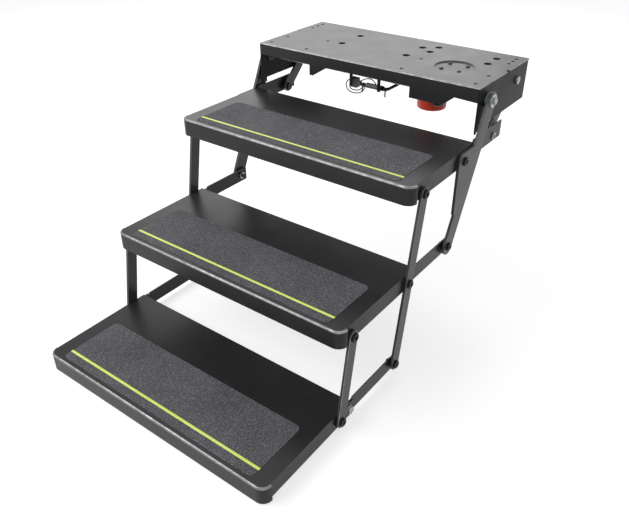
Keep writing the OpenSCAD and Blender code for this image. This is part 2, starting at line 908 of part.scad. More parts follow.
// The front flange with the tab that shields the motor and a smaller one on the left.
module front_flange() {
    end = side_in - 0.02;
    tab_far = tab_near + tab_width;
    left_slope = left_tab_width + left_tab_slope;
    color(coat)
    translate([0, flange_rear, 0])
        rotate([90, 0, 0])
            linear_extrude(frame_sheet)
                polygon([
                    [-end, -frame_sheet], [end, -frame_sheet], [end, -front_drop - 4.5],
                    [tab_far + tab_slope, -front_drop - 2.5], [tab_far, -tab_drop],
                    [tab_near, -tab_drop], [tab_near, -front_drop],
                    [left_slope - left_tab_far, -front_drop],
                    [left_tab_width - left_tab_far, -tab_drop], [-left_tab_far, -tab_drop],
                    [-left_tab_far, -front_drop], [-end, -front_drop]
                ]);
}

module rear_flange() {
    color(coat)
    translate([-side_in + 0.02, plate_rear - frame_sheet, -rear_drop])
        cube([2 * side_in - 0.04, frame_sheet, rear_drop - frame_sheet]);
}

// A side panel with a notched front post.
module side_panel() {
    post = flange_front + post_width;
    foot = panel_height + post_foot / 2;
    tip = panel_height + post_foot;
    color(coat)
    side_plate(side_in, frame_sheet)
    difference() {
        polygon([
            [flange_front, -frame_sheet], [panel_rear, -frame_sheet], [panel_rear, -panel_height],
            [post, -panel_height], [post, -tip], [post - 5, -foot], [flange_front + 9, -foot],
            [flange_front + 4, -tip], [flange_front, -foot]
        ]);
        translate(arm_top) circle(r = 13);
        translate(rear_top) circle(r = pin_radius + bolt_clearance);
    }
}

module side_panel_right() { side_panel(); }
module side_panel_left() { mirror([1, 0, 0]) side_panel(); }

// Rings that stiffen the access holes from below.
module hole_rings() {
    ring_thick = frame_sheet;
    color(black)
    for (p = access_holes)
        translate([p[0], p[1], -frame_sheet - ring_thick - 0.02])
            difference() {
                cylinder(h = ring_thick, r = 0.5 * access_hole + 3);
                translate([0, 0, -1])
                    cylinder(h = ring_thick + 2, r = 0.3 * access_hole);
            }
}

// Flanged bushes that carry the shaft in the side panels.
module shaft_bushes() {
    color(black)
    both_sides()
    difference() {
        union() {
            round_bar(side_in - 3, side_in - 0.02, arm_top, 18);
            round_bar(side_in - 1, side_out + 1.2, arm_top, 12.95);
        }
        round_bar(side_in - 4, side_out + 2, arm_top, shaft_radius + 0.5 * closing_clearance);
    }
}

// Bolts that carry the rear arms on the side panels.
module rear_pivot_bolts() {
    color(zinc)
    both_sides() {
        round_bar(rear_arm_in - 5, side_out + 1, rear_top, pin_radius);
        round_bar(rear_arm_out + 0.1, side_in - 0.02, rear_top, pin_radius + 4);
        hex_bar(side_out + 0.02, side_out + 5.5, rear_top, 17);
    }
}

module rear_pivot_nuts() {
    color(zinc)
    both_sides()
        lock_nut(rear_arm_in - nut_height, rear_arm_in - side_gap, rear_top);
}

mounting_plate();
front_flange();
rear_flange();
side_panel_right();
side_panel_left();
hole_rings();
shaft_bushes();
rear_pivot_bolts();
rear_pivot_nuts();
gearbox_case();
gearbox_screws();
drive_motor();
motor_cap();
stop_buffer();
motor_cable();
cable_sleeve();
cable_connector();
cable_clips();
arm_right();
arm_left();
cross_shaft();
shaft_spacers();
arm_end_bolts();
drive_lever();
lever_pin();
output_crank();
crank_pin();
drive_rod();
rear_arm_right();
rear_arm_left();
tread_1_pan();
tread_1_stiffener();
tread_1_rails();
tread_1_grit();
tread_1_strip();
tread_1_bolts();
tread_1_nuts();
link_right();
link_left();
tread_2_pan();
tread_2_stiffener();
tread_2_rails();
tread_2_grit();
tread_2_strip();
tread_2_bolts();
tread_2_nuts();
strut_right();
strut_left();
tread_3_pan();
tread_3_stiffener();
tread_3_rails();
tread_3_grit();
tread_3_strip();
tread_3_bolts();
tread_3_nuts();
tread_3_tail_bolts();
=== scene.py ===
"""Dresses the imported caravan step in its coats, plating, grit and fittings, and builds the studio."""

from __future__ import annotations

import json
import logging
import math
from dataclasses import dataclass
from enum import Enum
from typing import Callable, Mapping, Optional, Sequence, Union

import bmesh
import bpy
from bmesh.types import BMEdge, BMesh, BMVert
from bpy.types import Material, Mesh, Node, NodeSocket, NodeTree, Object
from mathutils import Matrix, Quaternion, Vector

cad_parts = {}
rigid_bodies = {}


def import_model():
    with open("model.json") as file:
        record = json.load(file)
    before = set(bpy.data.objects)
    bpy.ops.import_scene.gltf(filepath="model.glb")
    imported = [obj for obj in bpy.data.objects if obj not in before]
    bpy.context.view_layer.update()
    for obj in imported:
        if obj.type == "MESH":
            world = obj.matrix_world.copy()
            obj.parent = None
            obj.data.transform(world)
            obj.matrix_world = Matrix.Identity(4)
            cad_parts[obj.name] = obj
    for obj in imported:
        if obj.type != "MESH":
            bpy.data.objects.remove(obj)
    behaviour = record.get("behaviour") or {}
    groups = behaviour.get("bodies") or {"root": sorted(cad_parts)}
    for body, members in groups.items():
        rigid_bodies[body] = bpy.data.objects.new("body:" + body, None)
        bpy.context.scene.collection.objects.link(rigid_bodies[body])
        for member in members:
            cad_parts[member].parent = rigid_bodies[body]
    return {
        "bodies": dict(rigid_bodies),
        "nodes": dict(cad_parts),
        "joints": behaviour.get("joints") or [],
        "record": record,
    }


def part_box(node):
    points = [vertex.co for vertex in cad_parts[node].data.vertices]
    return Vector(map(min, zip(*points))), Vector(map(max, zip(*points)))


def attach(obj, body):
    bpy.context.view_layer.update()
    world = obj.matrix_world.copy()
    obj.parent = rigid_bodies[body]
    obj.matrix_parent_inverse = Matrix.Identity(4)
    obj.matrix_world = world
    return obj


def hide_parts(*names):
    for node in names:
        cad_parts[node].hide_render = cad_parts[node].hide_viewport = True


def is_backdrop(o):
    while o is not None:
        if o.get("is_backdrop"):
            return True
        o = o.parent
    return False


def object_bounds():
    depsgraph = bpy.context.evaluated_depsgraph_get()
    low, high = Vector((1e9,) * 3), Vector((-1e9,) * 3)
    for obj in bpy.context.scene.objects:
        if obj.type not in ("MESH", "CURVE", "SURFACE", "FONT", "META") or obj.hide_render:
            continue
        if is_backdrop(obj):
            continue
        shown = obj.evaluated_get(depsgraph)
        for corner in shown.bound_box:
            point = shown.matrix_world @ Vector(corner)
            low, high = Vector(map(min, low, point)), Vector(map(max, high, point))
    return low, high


LOG = logging.getLogger("caravan_step")
MM = 0.001
# Corners of a CAD mesh that lie closer than this are one, in metres.
SAME_CORNER = 2e-6
# Two places that lie closer than this touch, in metres.
TOUCH = 1e-5
# Faces of a CAD mesh that turn by less than this are one flat face.
FLAT_TURN = math.radians(0.4)
# Edges that turn by more than this can be folds, in radians.
FOLD_TURN = 1.0
# Edges that turn by more than this stay sharp, on the copy of a CAD node and on a new piece.
SHARP_TURN = math.radians(32)
NEW_SHARP_TURN = math.radians(35)
# Steps round a fold and round an edge.
FOLD_STEPS = 6
EDGE_STEPS = 2
# The place of the rubbed finish among a piece's materials, and the number that leaves each face its own.
# The rubbed finish paints a highlight along folds and cut edges.
RUBBED_AND_HIGHLIGHT = 1
OWN = -1
# The turn that lays a shape's axis along X.
LAID = (0.0, math.pi / 2, 0.0)
WHITE = (1.0, 1.0, 1.0, 1.0)
TREADS = (1, 2, 3)

Colour = tuple[float, float, float, float]
Value = Union[float, str, tuple, bpy.types.bpy_struct]
Key = Union[str, int]
Inputs = dict[Key, Value]
Sockets = Mapping[str, NodeSocket]
Number = Union[float, NodeSocket]
Point = tuple[float, float, float]
Joins = Sequence[tuple[int, ...]]


class Side(Enum):
    """The two sides of the step. The value is the sign of X."""

    RIGHT = 1
    LEFT = -1


class Edge(Enum):
    """How a piece's edges were left, as the radius of the rounding in millimetres."""

    LASER_CUT = 0.9
    SHEARED = 0.35
    CAST = 1.4
    TURNED = 0.3
    MOULDED = 0.8


def linear(code: str) -> Colour:
    """Turns an sRGB hex colour into a linear one.

    Args:
        code: six hex digits, with or without a leading hash.

    Returns:
        The linear red, green, blue and an alpha of one.
    """
    digits = code.lstrip("#")
    parts = [int(digits[i : i + 2], 16) / 255 for i in (0, 2, 4)]
    red, green, blue = (c / 12.92 if c <= 0.04045 else ((c + 0.055) / 1.055) ** 2.4 for c in parts)
    return red, green, blue, 1.0


def near(first: float, second: float) -> bool:
    """Says whether two places in metres are one, but for rounding."""
    return abs(first - second) < TOUCH


def in_mm(place: Sequence[float]) -> Vector:
    """Turns a place in metres into millimetres, without its rounding error."""
    return Vector([round(c / MM, 3) for c in place])


def feed(node: Node, inputs: Inputs) -> None:
    """Sets a node's inputs, or links them where they are given as sockets.

    Args:
        node: the node.
        inputs: values or sockets by input name or number.
    """
    for key, value in inputs.items():
        if isinstance(value, NodeSocket):
            node.id_data.links.new(value, node.inputs[key])
        else:
            node.inputs[key].default_value = value


def add_node(tree: NodeTree, kind: str, inputs: Optional[Inputs] = None, **settings: object) -> Node:
    """Adds one node with its settings, values and links.

    Args:
        tree: the shader or geometry tree.
        kind: the node's type name.
        inputs: values or sockets by input name or number.
        settings: the node's own properties.

    Returns:
        The new node.
    """
    node = tree.nodes.new(kind)
    for name, value in settings.items():
        setattr(node, name, value)
    feed(node, inputs or {})
    return node


def made(tree: NodeTree, kind: str, inputs: Inputs, out: Key = 0, **settings: object) -> NodeSocket:
    """Adds one node, as add_node does, and gives one of its outputs."""
    return add_node(tree, kind, inputs, **settings).outputs[out]


def stand(name: str, data: bpy.types.ID) -> Object:
    """Stands a mesh, lamp or camera in the scene.

    Args:
        name: the object's name.
        data: its mesh, lamp or camera.

    Returns:
        The new object.
    """
    obj = bpy.data.objects.new(name, data)
    bpy.context.scene.collection.objects.link(obj)
    return obj


def skin(work: BMesh, rings: Sequence[Sequence[BMVert]], capped: bool = False) -> None:
    """Joins rings of corners with faces.

    Args:
        work: the mesh.
        rings: the rings, each with as many corners as the rest, or with one at a pole.
        capped: whether the first and last ring are closed with a face.
    """
    steps = max(len(ring) for ring in rings)
    for lower, upper in zip(rings, rings[1:]):
        for i in range(steps):
            j = (i + 1) % steps
            first = (lower[i % len(lower)], lower[j % len(lower)])
            second = (upper[j % len(upper)], upper[i % len(upper)])
            work.faces.new(list(dict.fromkeys(first + second)))
    if capped:
        work.faces.new(rings[0])
        work.faces.new(rings[-1][::-1])


def round_points(middle: tuple[float, float], radius: float, steps: int) -> list[tuple[float, float]]:
    """Gives evenly spaced points on a circle, or its middle alone where the radius is zero.

    Args:
        middle: the circle's middle.
        radius: its radius.
        steps: the number of points.

    Returns:
        The points.
    """
    x, y = middle
    angles = [math.tau * i / steps for i in range(steps if radius > 0 else 1)]
    return [(x + radius * math.cos(angle), y + radius * math.sin(angle)) for angle in angles]


def block(work: BMesh, size: Point, middle: Point) -> None:
    """Adds a block to a mesh.

    Args:
        work: the mesh.
        size: the block's width, depth and height, in millimetres.
        middle: the place of its middle, in millimetres.
    """
    corners = bmesh.ops.create_cube(work, size=1.0)["verts"]
    bmesh.ops.scale(work, vec=[c * MM for c in size], verts=corners)
    bmesh.ops.translate(work, vec=[c * MM for c in middle], verts=corners)


def colour_ramp(value: NodeSocket, stops: Sequence[tuple[float, str]]) -> NodeSocket:
    """Turns a number into a colour.

    Args:
        value: the number, from 0 to 1.
        stops: places from 0 to 1 with their sRGB hex colours.

    Returns:
        The colour.
    """
    ramp = add_node(value.id_data, "ShaderNodeValToRGB", {"Fac": value})
    elements = ramp.color_ramp.elements
    while len(elements) < len(stops):
        elements.new(0.5)
    for element, (place, code) in zip(elements, stops):
        element.position = place
        element.color = linear(code)
    return ramp.outputs["Color"]


def start_material(name: str) -> tuple[Material, Node, NodeSocket]:
    """Starts a material with one surface shader.

    Args:
        name: the finish's name.

    Returns:
        The material, its surface shader and the object's own coordinates.
    """
    material = bpy.data.materials.new(name)
    material.use_nodes = True
    tree = material.node_tree
    tree.nodes.clear()
    shader = add_node(tree, "ShaderNodeBsdfPrincipled")
    add_node(tree, "ShaderNodeOutputMaterial", {"Surface": shader.outputs["BSDF"]})
    return material, shader, made(tree, "ShaderNodeTexCoord", {}, "Object")


def noise(place: NodeSocket, size_mm: float, detail: float) -> NodeSocket:
    """Adds a noise whose largest blotches have a real size, with some finer layers."""
    inputs = {"Vector": place, "Scale": 1 / (size_mm * MM), "Detail": detail}
    return made(place.id_data, "ShaderNodeTexNoise", inputs, "Fac")


def spread(value: NodeSocket, low: float, high: float) -> NodeSocket:
    """Maps the middle of a noise onto the range from low to high."""
    inputs = {"Value": value, "From Min": 0.3, "From Max": 0.7, "To Min": low, "To Max": high}
    return made(value.id_data, "ShaderNodeMapRange", inputs, "Result")


def relief(height: NodeSocket, strength: float, depth_mm: float) -> NodeSocket:
    """Raises a surface by a height from 0 to 1, up to a real depth."""
    inputs = {"Height": height, "Strength": strength, "Distance": depth_mm * MM}
    return made(height.id_data, "ShaderNodeBump", inputs, "Normal")


@dataclass(frozen=True)
class PowderCoat:
    """Polyester powder coat, sprayed and baked on steel.

    It gives a satin skin with a slight orange peel, and a clear sheen that grows at low angles.
    """

    name: str
    colour: str
    worn: str
    roughness: float = 0.31
    peel_mm: float = 2.4
    peel_depth_mm: float = 0.03
    cloud_mm: float = 90
    patch_mm: float = 60
    gloss: float = 0.22

    def material(self) -> Material:
        """Builds the coat.

        Returns:
            The finished material.
        """
        material, shader, place = start_material(self.name)
        tone = colour_ramp(noise(place, self.cloud_mm, 1), [(0.1, self.colour), (0.9, self.worn)])
        normal = relief(noise(place, self.peel_mm, 1.5), 0.1, self.peel_depth_mm)
        patches = noise(place, self.patch_mm, 1)
        rough = spread(patches, self.roughness - 0.02, self.roughness + 0.04)
        feed(shader, {"Base Color": tone, "Roughness": rough, "Normal": normal})
        feed(shader, {"IOR": 1.5, "Specular IOR Level": self.gloss})
        return material


@dataclass(frozen=True)
class RubbedFoldAndHighlight:
    """Powder coat over a bend, rubbed thin until the steel shines through, with a paler coat between the
    patches.

    A bend is where a coat is thinnest and is touched most, so it wears in patches. The pale steel patches
    and the paler coat also paint the bright highlight line that light leaves along a bend.
    """

    name: str
    coat: str
    steel: str
    patch_mm: float = 14

    def material(self) -> Material:
        """Builds the rubbed coat, with its painted highlight.

        Returns:
            The finished material.
        """
        material, shader, place = start_material(self.name)
        # The pale steel patches are partly wear and partly a painted highlight along the bend.
        bare_and_highlight = spread(noise(place, self.patch_mm, 3), 0.35, 0.7)
        colours = {0: bare_and_highlight, 6: linear(self.coat), 7: linear(self.steel)}
        tone = made(material.node_tree, "ShaderNodeMix", colours, 2, data_type="RGBA")
        feed(shader, {"Base Color": tone, "Metallic": bare_and_highlight, "Roughness": 0.26})
        return material


@dataclass(frozen=True)
class GritSheet:
    """Anti-slip sheet: mineral grit in resin on a self-adhesive backing.

    Single grains of about half a millimetre sparkle against dark resin. They are drawn 1.3 mm wide, because
    finer ones don't show in the render.
    """

    name: str
    resin: str
    grain: str
    glint: str
    grain_mm: float = 1.3
    grain_depth_mm: float = 0.35
    wear_mm: float = 90

    def material(self) -> Material:
        """Builds the sheet.

        Returns:
            The finished material.
        """
        material, shader, place = start_material(self.name)
        tree = material.node_tree
        inputs = {"Vector": place, "Scale": 1 / (self.grain_mm * MM)}
        cells = add_node(tree, "ShaderNodeTexVoronoi", inputs, feature="F1").outputs
        pick = made(tree, "ShaderNodeSeparateColor", {"Color": cells["Color"]}, "Red")
        # The palest grains, at the glint stop, are a painted glint: a pale colour that stands in for the
        # sparkle of grains.
        stops = [(0.0, self.resin), (0.45, self.resin)]
        stops += [(0.7, self.grain), (0.9, self.grain), (1.0, self.glint)]
        tone = colour_ramp(pick, stops)
        wear = spread(noise(place, self.wear_mm, 4), 0.88, 1.12)
        layers = {0: 1.0, 6: tone, 7: wear}
        shade = made(tree, "ShaderNodeMix", layers, 2, data_type="RGBA", blend_type="MULTIPLY")
        slope = {"Value": cells["Distance"], "From Min": 0.0, "From Max": 0.6, "To Min": 1.0, "To Max": 0.0}
        normal = relief(made(tree, "ShaderNodeMapRange", slope, "Result"), 0.7, self.grain_depth_mm)
        feed(shader, {"Base Color": shade, "Normal": normal, "Roughness": 0.8, "Specular IOR Level": 0.15})
        return material


@dataclass(frozen=True)
class PlatedSteel:
    """Steel with bright zinc plating, pale and slightly blue, with soft blotches from the bath."""

    name: str
    colour: str
    blotch: str
    roughness: float = 0.36
    blotch_mm: float = 9
    haze_mm: float = 3

    def material(self) -> Material:
        """Builds the plating.

        Returns:
            The finished material.
        """
        material, shader, place = start_material(self.name)
        blotches = noise(place, self.blotch_mm, 4)
        tone = colour_ramp(blotches, [(0.35, self.colour), (0.65, self.blotch)])
        haze = noise(place, self.haze_mm, 3)
        rough = spread(haze, self.roughness - 0.06, self.roughness + 0.1)
        feed(shader, {"Base Color": tone, "Roughness": rough, "Metallic": 1.0})
        return material


@dataclass(frozen=True)
class DieCastAlloy:
    """Aluminium die casting, left as cast: a dull grey skin with fine pits."""

    name: str
    colour: str
    flow: str
    roughness: float = 0.55
    flow_mm: float = 22
    pit_mm: float = 1.3
    pit_depth_mm: float = 0.2

    def material(self) -> Material:
        """Builds the casting's skin.

        Returns:
            The finished material.
        """
        material, shader, place = start_material(self.name)
        pits = noise(place, self.pit_mm, 4)
        tone = colour_ramp(noise(place, self.flow_mm, 4), [(0.3, self.colour), (0.7, self.flow)])
        normal = relief(pits, 0.35, self.pit_depth_mm)
        rough = spread(pits, self.roughness - 0.1, self.roughness + 0.1)
        feed(shader, {"Base Color": tone, "Roughness": rough, "Normal": normal, "Metallic": 0.85})
        return material


@dataclass(frozen=True)
class Moulding:
    """Moulded plastic or rubber. ABS and nylon shine softly, and EPDM rubber is dull and bloomed."""

    name: str
    colour: str
    second: str
    roughness: float
    ior: float
    grain_mm: float
    glow: float = 0.0
    grain_depth_mm: float = 0.1
    cloud_mm: float = 18

    def material(self) -> Material:
        """Builds the moulding's skin.

        Returns:
            The finished material.
        """
        material, shader, place = start_material(self.name)
        cloud = noise(place, self.cloud_mm, 3)
        tone = colour_ramp(cloud, [(0.35, self.colour), (0.7, self.second)])
        grain = noise(place, self.grain_mm, 2)
        normal = relief(grain, 0.12, self.grain_depth_mm)
        rough = spread(grain, self.roughness - 0.04, self.roughness + 0.05)
        feed(shader, {"Base Color": tone, "Roughness": rough, "Normal": normal, "IOR": self.ior})
        if self.glow:
            feed(shader, {"Emission Color": tone, "Emission Strength": self.glow})
        return material


# The finishes by the record's slots, with two more: a duller, darker copy of the black coat that paints
# shade on the side panels, and the rubbed folds, which paint a highlight.
FINISHES = {
    "satin_black": PowderCoat("satin_black_powder_coat", "#2a2a2c", "#303032"),
    # Painted shade: the side panels have the same coat as the rest, and this duller, darker copy makes them
    # render darker.
    "panel_shade_black": PowderCoat("dull_black_coat_painted_shade", "#262628", "#2c2c2e", gloss=0.06),
    "rubbed_fold_and_highlight": RubbedFoldAndHighlight("rubbed_coat_fold_painted_highlight", "#464648", "#b4b4b4"),
    "arm_black": PowderCoat("arm_black_powder_coat", "#434346", "#4b4b4e", gloss=0.3),
    "black_steel": PowderCoat("black_bolt_coat", "#161617", "#202022", roughness=0.36, peel_mm=1.2),
    "zinc_plate": PlatedSteel("bright_zinc_plating", "#b2b6b6", "#8f9495"),
    "cast_alloy": DieCastAlloy("as_cast_alloy", "#8a8d90", "#7d8084"),
    "grit_pad": GritSheet("anti_slip_grit_sheet", "#545458", "#717175", "#9c9c9e"),
    # The strip's glow is painted light: a fixed emission stands in for the brightness of its fluorescent
    # pigment.
    "bright_strip": Moulding("fluorescent_strip", "#e4f27c", "#d9ea63", 0.45, 1.49, 1.5, glow=0.12),
    "red_plastic": Moulding("red_abs", "#f6583a", "#ea4a30", 0.34, 1.53, 0.9),
    "black_rubber": Moulding("black_epdm_rubber", "#171717", "#232323", 0.62, 1.5, 0.7),
    "grey_plastic": Moulding("grey_nylon", "#6f7275", "#63666a", 0.45, 1.53, 0.8),
    "white_plastic": Moulding("white_nylon", "#dcdcd6", "#cfcfc8", 0.4, 1.53, 0.8),
}


@dataclass
class Workshop:
    """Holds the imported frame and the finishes, and makes dressed pieces from CAD nodes."""

    frame: dict
    finishes: dict[str, Material]

    def body(self, node: str) -> str:
        """Gives the body that a CAD node rides on."""
        bodies = self.frame["record"]["behaviour"]["bodies"]
        return next(name for name, nodes in bodies.items() if node in nodes)

    def node_slot(self, node: str) -> str:
        """Gives the material slot of a CAD node."""
        rows = self.frame["record"]["subparts"]
        return next(row["material_slot"] for row in rows if row["node"] == node)

    def paint(self, node: str) -> None:
        """Gives a CAD node its slot's finish and leaves its shape.

        Args:
            node: the CAD node.
        """
        obj = self.frame["nodes"][node]
        material = self.finishes[self.node_slot(node)]
        if not obj.material_slots:
            obj.data.materials.append(material)
        for place in obj.material_slots:
            place.material = material

    def pivot(self, joint: str) -> Vector:
        """Gives the depth and height of a joint, in millimetres."""
        return in_mm(next(row["pos_m"] for row in self.frame["joints"] if row["name"] == joint)).yz

    def adopt(self, obj: Object, node: str, slot: Optional[str] = None) -> None:
        """Dresses a new piece and lets it ride.

        Args:
            obj: the new piece, with its place in its mesh.
            node: the CAD node whose body it rides on.
            slot: the material slot that it takes its finish from, if that isn't the node's.
        """
        body = self.body(node)
        slot = slot or self.node_slot(node)
        if not obj.data.materials:
            obj.data.materials.append(self.finishes[slot])
        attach(obj, body)
        LOG.info("%s: %d faces on %s", obj.name, len(obj.data.polygons), body)

    def soften(
        self,
        node: str,
        edge: Edge,
        folds: Sequence[tuple[float, Callable[[BMEdge], bool]]] = (),
        painted: Optional[str] = None,
    ) -> None:
        """Stands a copy of a CAD node in its place, with its edges rounded as its maker left them.

        Args:
            node: the CAD node.
            edge: how its plain edges were left.
            folds: the outer radius in millimetres of each kind of fold, and what tells its edges.
            painted: the slot whose finish covers it, where it was painted over in its place.
        """
        mesh = self.frame["nodes"][node].data.copy()
        mesh.name = f"{node}_piece"
        work = bmesh.new()
        work.from_mesh(mesh)
        bmesh.ops.remove_doubles(work, verts=work.verts, dist=SAME_CORNER)
        bmesh.ops.dissolve_limit(
            work, angle_limit=FLAT_TURN, use_dissolve_boundaries=False, verts=work.verts, edges=work.edges
        )
        for radius, is_fold in folds:
            shared = (e for e in work.edges if len(e.link_faces) == 2)
            bent = [e for e in shared if e.calc_face_angle() > FOLD_TURN and is_fold(e)]
            # Folds take the rubbed finish, whose pale patches paint a highlight along them.
            bmesh.ops.bevel(
                work, geom=bent, offset=radius * MM, offset_type="OFFSET", segments=FOLD_STEPS, profile=0.5,
                affect="EDGES", clamp_overlap=False, material=RUBBED_AND_HIGHLIGHT,
            )
        for face in work.faces:
            face.smooth = True
        work.to_mesh(mesh)
        work.free()
        places = [face.material_index if folds else 0 for face in mesh.polygons]
        mesh.materials.clear()
        mesh.materials.append(self.finishes[painted or self.node_slot(node)])
        mesh.materials.append(self.finishes["rubbed_fold_and_highlight"])
        mesh.polygons.foreach_set("material_index", places)
        mesh.set_sharp_from_angle(angle=SHARP_TURN)
        obj = stand(f"{node}_piece", mesh)
        bevel = obj.modifiers.new("edges", "BEVEL")
        bevel.width = edge.value * MM
        bevel.segments = EDGE_STEPS
        bevel.limit_method = "ANGLE"
        bevel.angle_limit = SHARP_TURN
        bevel.use_clamp_overlap = True
        # Laser-cut edges take the rubbed finish too, which paints a highlight line along them.
        bevel.material = RUBBED_AND_HIGHLIGHT if edge is Edge.LASER_CUT else OWN
        obj.modifiers.new("flat_faces", "WEIGHTED_NORMAL").keep_sharp = True
        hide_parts(node)
        self.adopt(obj, node)

    def soften_all(self, nodes: Sequence[str], edge: Edge, painted: Optional[str] = None) -> None:
        """Softens CAD nodes without folds, all in the same way."""
        for node in nodes:
            self.soften(node, edge, painted=painted)

    def mesh_piece(self, name: str, work: BMesh, node: str, slot: Optional[str] = None) -> Object:
        """Makes a piece from mesh code.

        Args:
            name: the piece's name.
            work: its mesh, in metres, in its place.
            node: the CAD node whose body it rides on.
            slot: its material slot, if that isn't the node's.

        Returns:
            The new piece.
        """
        bmesh.ops.recalc_face_normals(work, faces=work.faces)
        for face in work.faces:
            face.smooth = True
        mesh = bpy.data.meshes.new(name)
        work.to_mesh(mesh)
        work.free()
        mesh.set_sharp_from_angle(angle=NEW_SHARP_TURN)
        obj = stand(name, mesh)
        self.adopt(obj, node, slot)
        return obj

    def grown(
        self, name: str, start: Mesh, tree: NodeTree, values: Inputs, node: str, slot: Optional[str] = None
    ) -> None:
        """Runs a geometry tree on a starting mesh and keeps its result as a plain mesh.

        Args:
            name: the piece's name.
            start: the points or faces that the tree works on.
            tree: the geometry tree.
            values: the tree's inputs by name.
            node: the CAD node whose body the piece rides on.
            slot: its material slot, if that isn't the node's.
        """
        holder = stand(f"{name}_start", start)
        modifier = holder.modifiers.new("grow", "NODES")
        modifier.node_group = tree
        items = tree.interface.items_tree
        sockets = {item.name: item.identifier for item in items if item.in_out == "INPUT"}
        for key, value in values.items():
            modifier[sockets[key]] = value
        modifier[sockets["Finish"]] = self.finishes[slot or self.node_slot(node)]
        graph = bpy.context.evaluated_depsgraph_get()
        mesh = bpy.data.meshes.new_from_object(holder.evaluated_get(graph))
        holder.modifiers.remove(modifier)
        bpy.data.objects.remove(holder)
        mesh.name = name
        self.adopt(stand(name, mesh), node, slot)


def start_mesh(name: str, corners: Sequence[Point], lines: Joins = (), faces: Joins = ()) -> Mesh:
    """Makes the mesh that a tree starts from.

    Args:
        name: the mesh's name.
        corners: its corners, in millimetres.
        lines: the two corners of each line.
        faces: the corners of each face.

    Returns:
        The mesh.
    """
    mesh = bpy.data.meshes.new(name)
    mesh.from_pydata([[c * MM for c in corner] for corner in corners], lines, faces)
    return mesh


def start_tree(name: str, defaults: dict[str, float]) -> tuple[NodeTree, Sockets]:
    """Starts a geometry tree with named inputs.

    Args:
        name: the tree's name.
        defaults: the default of each input by its name.

    Returns:
        The tree and the sockets of its inputs by their names.
    """
    tree = bpy.data.node_groups.new(name, "GeometryNodeTree")
    tree.interface.new_socket("Start", in_out="INPUT", socket_type="NodeSocketGeometry")
    tree.interface.new_socket("Geometry", in_out="OUTPUT", socket_type="NodeSocketGeometry")
    for label, default in defaults.items():
        kind = "NodeSocketInt" if isinstance(default, int) else "NodeSocketFloat"
        tree.interface.new_socket(label, in_out="INPUT", socket_type=kind).default_value = default
    tree.interface.new_socket("Finish", in_out="INPUT", socket_type="NodeSocketMaterial")
    return tree, add_node(tree, "NodeGroupInput").outputs


def end_tree(tree: NodeTree, given: Sockets, shape: NodeSocket) -> NodeTree:
    """Ends a geometry tree with plain geometry in its finish.

    Args:
        tree: the tree.
        given: the sockets of its inputs.
        shape: the instances or mesh that it made.

    Returns:
        The finished tree.
    """
    real = made(tree, "GeometryNodeRealizeInstances", {"Geometry": shape})
    dressed = made(tree, "GeometryNodeSetMaterial", {"Geometry": real, "Material": given["Finish"]})
    add_node(tree, "NodeGroupOutput", {"Geometry": dressed})
    return tree


def calculated(operation: str, first: NodeSocket, second: Number) -> NodeSocket:
    """Works out one number from two."""
    return made(first.id_data, "ShaderNodeMath", {0: first, 1: second}, operation=operation)


def along_z(length: NodeSocket) -> NodeSocket:
    """Makes a vector along Z from a number."""
    return made(length.id_data, "ShaderNodeCombineXYZ", {"Z": length})


def random_vector(tree: NodeTree, low: Point, high: Point, seed: Number) -> NodeSocket:
    """Draws a vector for each point, between two."""
    return made(tree, "FunctionNodeRandomValue", {0: low, 1: high, "Seed": seed}, data_type="FLOAT_VECTOR")


def circle(tree: NodeTree, steps: int, radius: Number) -> NodeSocket:
    """Draws a circle with a number of steps."""
    return made(tree, "GeometryNodeCurvePrimitiveCircle", {"Resolution": steps, "Radius": radius})


def swept(path: NodeSocket, section: NodeSocket, capped: bool = False) -> NodeSocket:
    """Sweeps a section along a path, with or without closed ends."""
    inputs = {"Curve": path, "Profile Curve": section, "Fill Caps": capped}
    return made(path.id_data, "GeometryNodeCurveToMesh", inputs)


def moved(shape: NodeSocket, **how: Value) -> NodeSocket:
    """Moves or turns a shape by its Translation or Rotation."""
    return made(shape.id_data, "GeometryNodeTransform", {"Geometry": shape, **how})


def copies(points: NodeSocket, shape: NodeSocket, **how: NodeSocket) -> NodeSocket:
    """Stands a copy of a shape on each point, with its Rotation and Scale if they are given."""
    inputs = {"Points": points, "Instance": shape, **how}
    return made(points.id_data, "GeometryNodeInstanceOnPoints", inputs)


def grain_tree() -> NodeTree:
    """Builds the tree that scatters grit.

    Returns:
        A tree with the inputs Density, Grain Radius and Seed.
    """
    tree, given = start_tree("scatter_grains", {"Density": 30000.0, "Grain Radius": 0.0004, "Seed": 1})
    seed = given["Seed"]
    inputs = {"Mesh": given["Start"], "Density": given["Density"], "Seed": seed}
    spots = made(tree, "GeometryNodeDistributePointsOnFaces", inputs, "Points")
    inputs = {"Radius": given["Grain Radius"], "Subdivisions": 1}
    grain = made(tree, "GeometryNodeMeshIcoSphere", inputs, "Mesh")
    size = random_vector(tree, (0.6, 0.6, 0.4), (1.4, 1.4, 0.9), seed)
    turn = random_vector(tree, (0.0, 0.0, 0.0), (0.5, 0.5, math.tau), seed)
    turned = made(tree, "FunctionNodeEulerToRotation", {0: turn})
    return end_tree(tree, given, copies(spots, grain, Rotation=turned, Scale=size))


